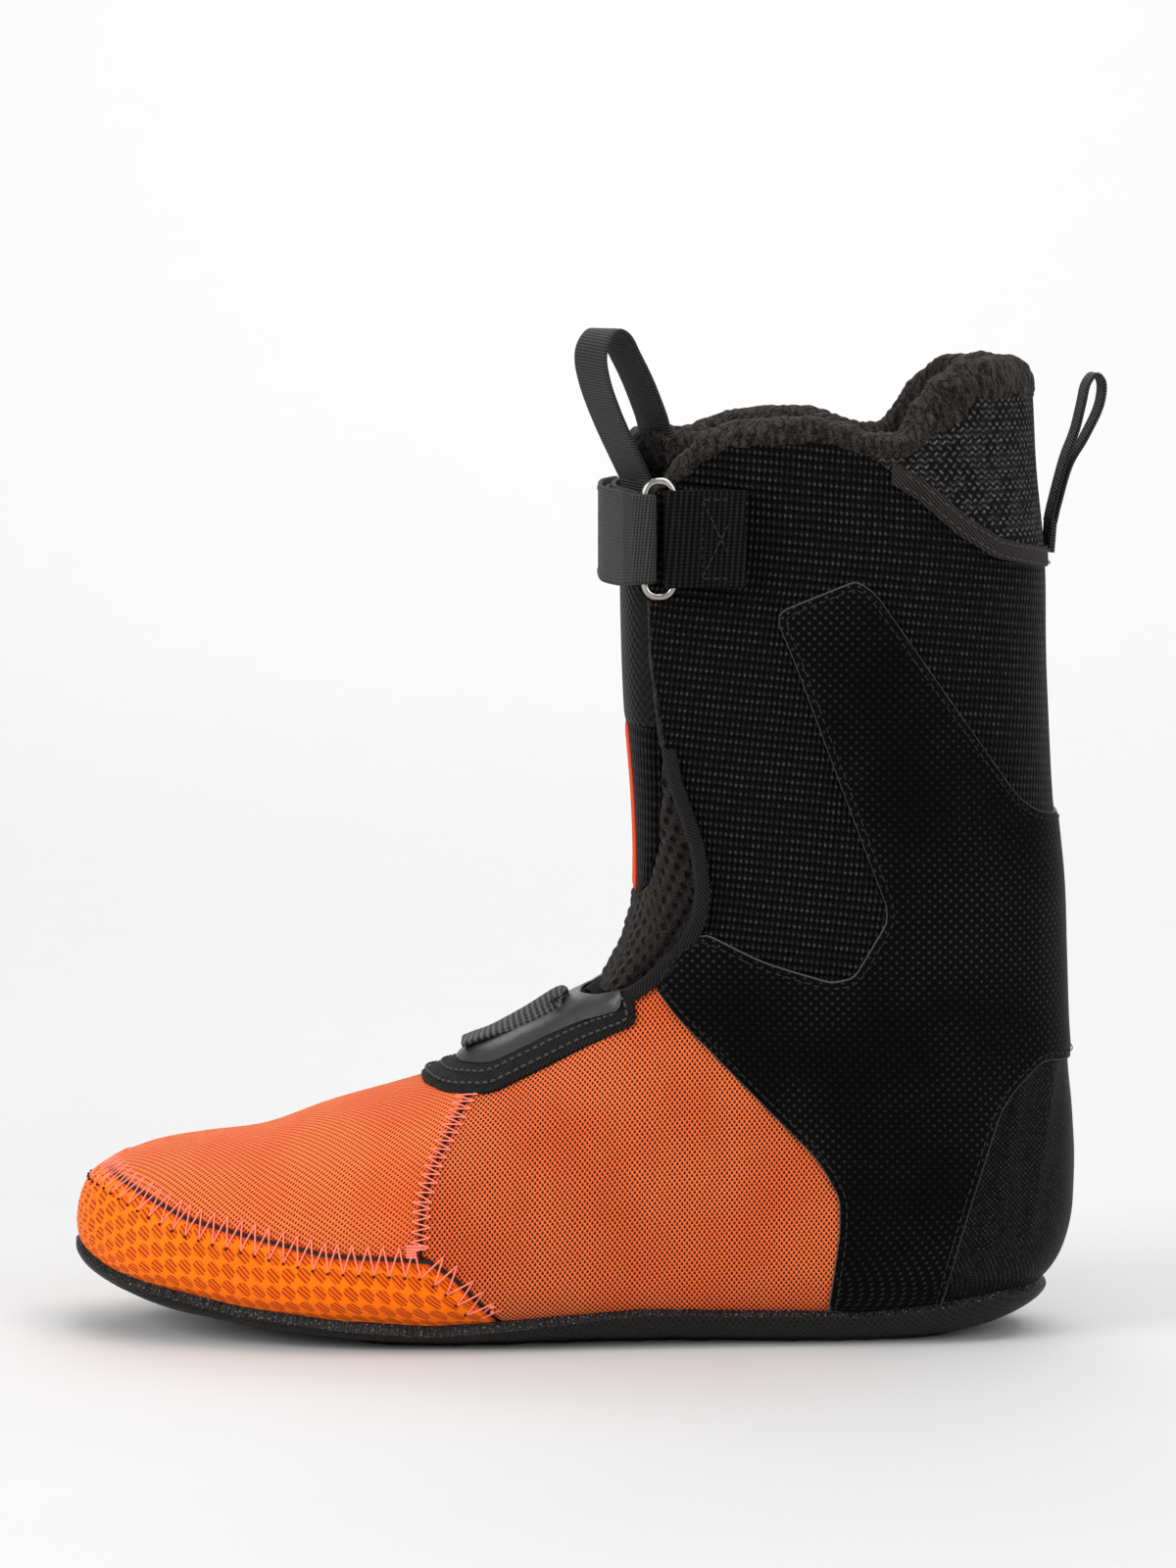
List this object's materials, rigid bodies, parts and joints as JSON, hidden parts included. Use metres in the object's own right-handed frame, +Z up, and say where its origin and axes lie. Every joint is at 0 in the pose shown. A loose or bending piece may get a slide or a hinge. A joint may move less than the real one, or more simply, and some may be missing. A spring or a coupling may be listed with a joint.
{
  "type": "ski boot liner",
  "caption": "Heat-mouldable inner boot of an alpine ski boot, with an opening tongue, a ring-and-hook-and-loop strap, pull loops and a lift-out footbed.",
  "frame": {"origin": "middle of the whole part in plan, on the surface the sole stands on", "axes": "-X towards the toe, +X towards the heel, +Z up, -Y the lateral side with the strap ring, +Y the medial side"},
  "size_m": [0.295, 0.1058, 0.2869],
  "materials": {
    "orange_mesh": "fine knitted mesh with dark pin-holes, matte",
    "orange_rand": "coated fabric with a raised lozenge pattern",
    "black_mesh": "three-dimensional knitted spacer mesh",
    "black_film": "moulded film embossed with small dimples, satin",
    "ripstop": "tight coated weave",
    "binding_tape": "twill tape with two rows of stitching",
    "webbing": "ribbed woven webbing",
    "hook_and_loop": "hook-and-loop pile",
    "faux_leather": "smooth satin faux leather",
    "fleece": "deep waffle fleece",
    "foam": "closed-cell heat-mouldable foam",
    "footbed_foam": "foam with a cloth top",
    "sole_rubber": "thin rubber with a diagonal twill texture",
    "stiffener": "thin moulded sheet, hidden inside",
    "board": "pressed fibre insole board, hidden inside",
    "steel": "polished nickel-plated wire"
  },
  "bodies": {
    "shell": {"ankle_overlay": "black_film", "ankle_pad_lateral": "foam", "ankle_pad_medial": "foam", "collar_binding": "binding_tape", "collar_roll": "fleece", "cuff_foam": "foam", "cuff_mesh_lateral": "black_mesh", "cuff_mesh_medial": "black_mesh", "flap_binding_lateral": "binding_tape", "flap_binding_medial": "binding_tape", "foot_foam": "foam", "toe_foam": "foam", "heel_counter": "stiffener", "heel_panel": "ripstop", "insole_board": "board", "instep_binding": "webbing", "instep_loop": "webbing", "instep_patch": "faux_leather", "lining": "fleece", "side_panel_lateral": "orange_mesh", "side_panel_medial": "orange_mesh", "sole": "sole_rubber", "spoiler_foam": "foam", "spoiler_mesh": "black_mesh", "strap_anchor": "webbing", "strap_anchor_medial": "ripstop", "strap_webbing": "webbing", "toe_rand": "orange_rand", "toe_top_panel": "orange_mesh"},
    "tongue": {"tongue_centre_strip": "orange_mesh", "tongue_foam": "foam", "tongue_lining": "fleece", "tongue_mesh_lateral": "black_mesh", "tongue_mesh_medial": "black_mesh", "tongue_side_fleece": "fleece", "tongue_stiffener": "stiffener", "tongue_top_roll": "fleece", "tongue_upper_panel": "ripstop", "hook_pad": "hook_and_loop"},
    "front_loop": {"front_pull_loop": "webbing"},
    "strap_tab": {"strap_end_tab": "webbing"},
    "ring": {"strap_ring": "steel"},
    "rear_loop": {"rear_pull_loop": "webbing"},
    "footbed": {"footbed": "footbed_foam"}
  },
  "joints": [
    {"name": "tongue_hinge", "type": "hinge", "parent": "shell", "child": "tongue", "pos_m": [0.00376, 0.00112, 0.099], "axis": [0, -1, 0], "range_deg": [0, 30], "deforming": ["strap_webbing"]},
    {"name": "front_loop_swing", "type": "hinge", "parent": "tongue", "child": "front_loop", "pos_m": [0.01456, -0.02418, 0.2444], "axis": [0.5736, -0.8192, 0], "range_deg": [0, 25]},
    {"name": "strap_tab_peel", "type": "hinge", "parent": "tongue", "child": "strap_tab", "pos_m": [0.00421, 0.00342, 0.2293], "axis": [0, 0, 1], "range_deg": [0, 110]},
    {"name": "ring_swing", "type": "hinge", "parent": "shell", "child": "ring", "pos_m": [0.02436, -0.04988, 0.2293], "axis": [0, 0, 1], "range_deg": [-5, 5]},
    {"name": "rear_loop_swing", "type": "hinge", "parent": "shell", "child": "rear_loop", "pos_m": [0.13236, 0.00112, 0.2316], "axis": [0, -1, 0], "range_deg": [-30, 12]},
    {"name": "footbed_lift", "type": "hinge", "parent": "shell", "child": "footbed", "pos_m": [-0.13124, 0.00112, 0.028], "axis": [0, -1, 0], "range_deg": [0, 8]}
  ]
}
